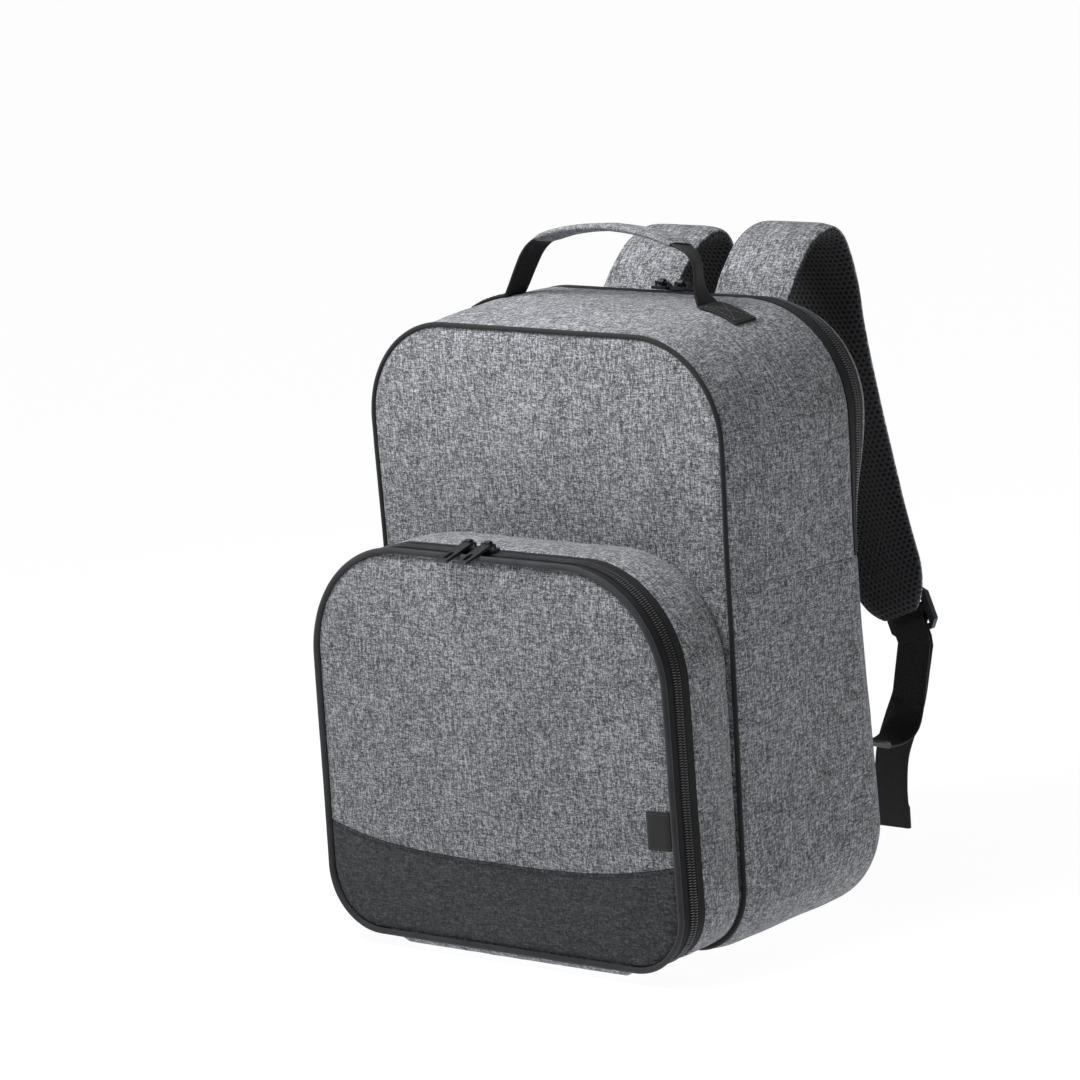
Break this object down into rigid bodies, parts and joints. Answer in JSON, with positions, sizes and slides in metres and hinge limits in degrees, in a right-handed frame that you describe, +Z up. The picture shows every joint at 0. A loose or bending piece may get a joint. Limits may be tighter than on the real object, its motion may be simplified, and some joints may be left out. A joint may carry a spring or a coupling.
{
  "type": "cooler backpack",
  "caption": "Upright cooler backpack with zipped main compartment, zipped front pocket, grab handle and two padded shoulder straps.",
  "frame": {"origin": "middle of the main body's flat base, on the floor", "axes": "+X to the right of someone who faces the pocket, +Y from the pocket towards the shoulder straps, +Z up"},
  "size_m": [0.2838, 0.3262, 0.4235],
  "materials": {
    "heather_cloth": "heather grey polyester weave",
    "charcoal_cloth": "charcoal heather polyester weave",
    "piping_cloth": "dark grey piping cloth",
    "zip_tape": "dark woven zip tape",
    "zip_coil": "dark nylon coil",
    "label": "plain dark woven label",
    "zip_metal": "glossy black enamel",
    "webbing": "black polypropylene webbing",
    "air_mesh": "black three-dimensional air mesh",
    "buckle_plastic": "dark grey moulded plastic"
  },
  "bodies": {
    "bag": {"gusset_upper": "heather_cloth", "gusset_lower": "heather_cloth", "gusset_rear": "heather_cloth", "main_front_panel": "heather_cloth", "back_panel": "heather_cloth", "pocket_gusset": "heather_cloth", "pocket_hinge_strip": "heather_cloth", "pocket_panel_upper": "heather_cloth", "main_piping": "piping_cloth", "pocket_piping": "piping_cloth", "pocket_panel_band": "charcoal_cloth", "main_zip_tape_front": "zip_tape", "main_zip_tape_rear": "zip_tape", "pocket_zip_tape_front": "zip_tape", "pocket_zip_tape_rear": "zip_tape", "main_zip_coil": "zip_coil", "pocket_zip_coil": "zip_coil", "pocket_label": "label", "main_slider_left": "zip_metal", "main_slider_right": "zip_metal", "pocket_slider_left": "zip_metal", "pocket_slider_right": "zip_metal", "handle_webbing": "webbing", "handle_grip": "heather_cloth", "strap_cover_left": "heather_cloth", "strap_mesh_left": "air_mesh", "ladder_lock_left": "buckle_plastic", "strap_end_webbing_left": "webbing", "lower_webbing_left": "webbing", "strap_cover_right": "heather_cloth", "strap_mesh_right": "air_mesh", "ladder_lock_right": "buckle_plastic", "strap_end_webbing_right": "webbing", "lower_webbing_right": "webbing"},
    "pocket_pull_left": {"pocket_pull_left": "zip_metal"},
    "pocket_pull_right": {"pocket_pull_right": "zip_metal"},
    "main_pull_left": {"main_pull_left": "zip_metal"},
    "main_pull_right": {"main_pull_right": "zip_metal"}
  },
  "joints": [
    {"name": "pocket_pull_left_hinge", "type": "hinge", "parent": "bag", "child": "pocket_pull_left", "pos_m": [-0.0165, -0.12779, 0.25167], "axis": [-1, 0, 0], "range_deg": [0, 150]},
    {"name": "pocket_pull_right_hinge", "type": "hinge", "parent": "bag", "child": "pocket_pull_right", "pos_m": [-0.0015, -0.12779, 0.25167], "axis": [-1, 0, 0], "range_deg": [0, 150]},
    {"name": "main_pull_left_hinge", "type": "hinge", "parent": "bag", "child": "main_pull_left", "pos_m": [-0.0045, 0.05228, 0.378], "axis": [1, 0, 0], "range_deg": [0, 150]},
    {"name": "main_pull_right_hinge", "type": "hinge", "parent": "bag", "child": "main_pull_right", "pos_m": [0.0105, 0.05228, 0.378], "axis": [1, 0, 0], "range_deg": [0, 150]}
  ]
}
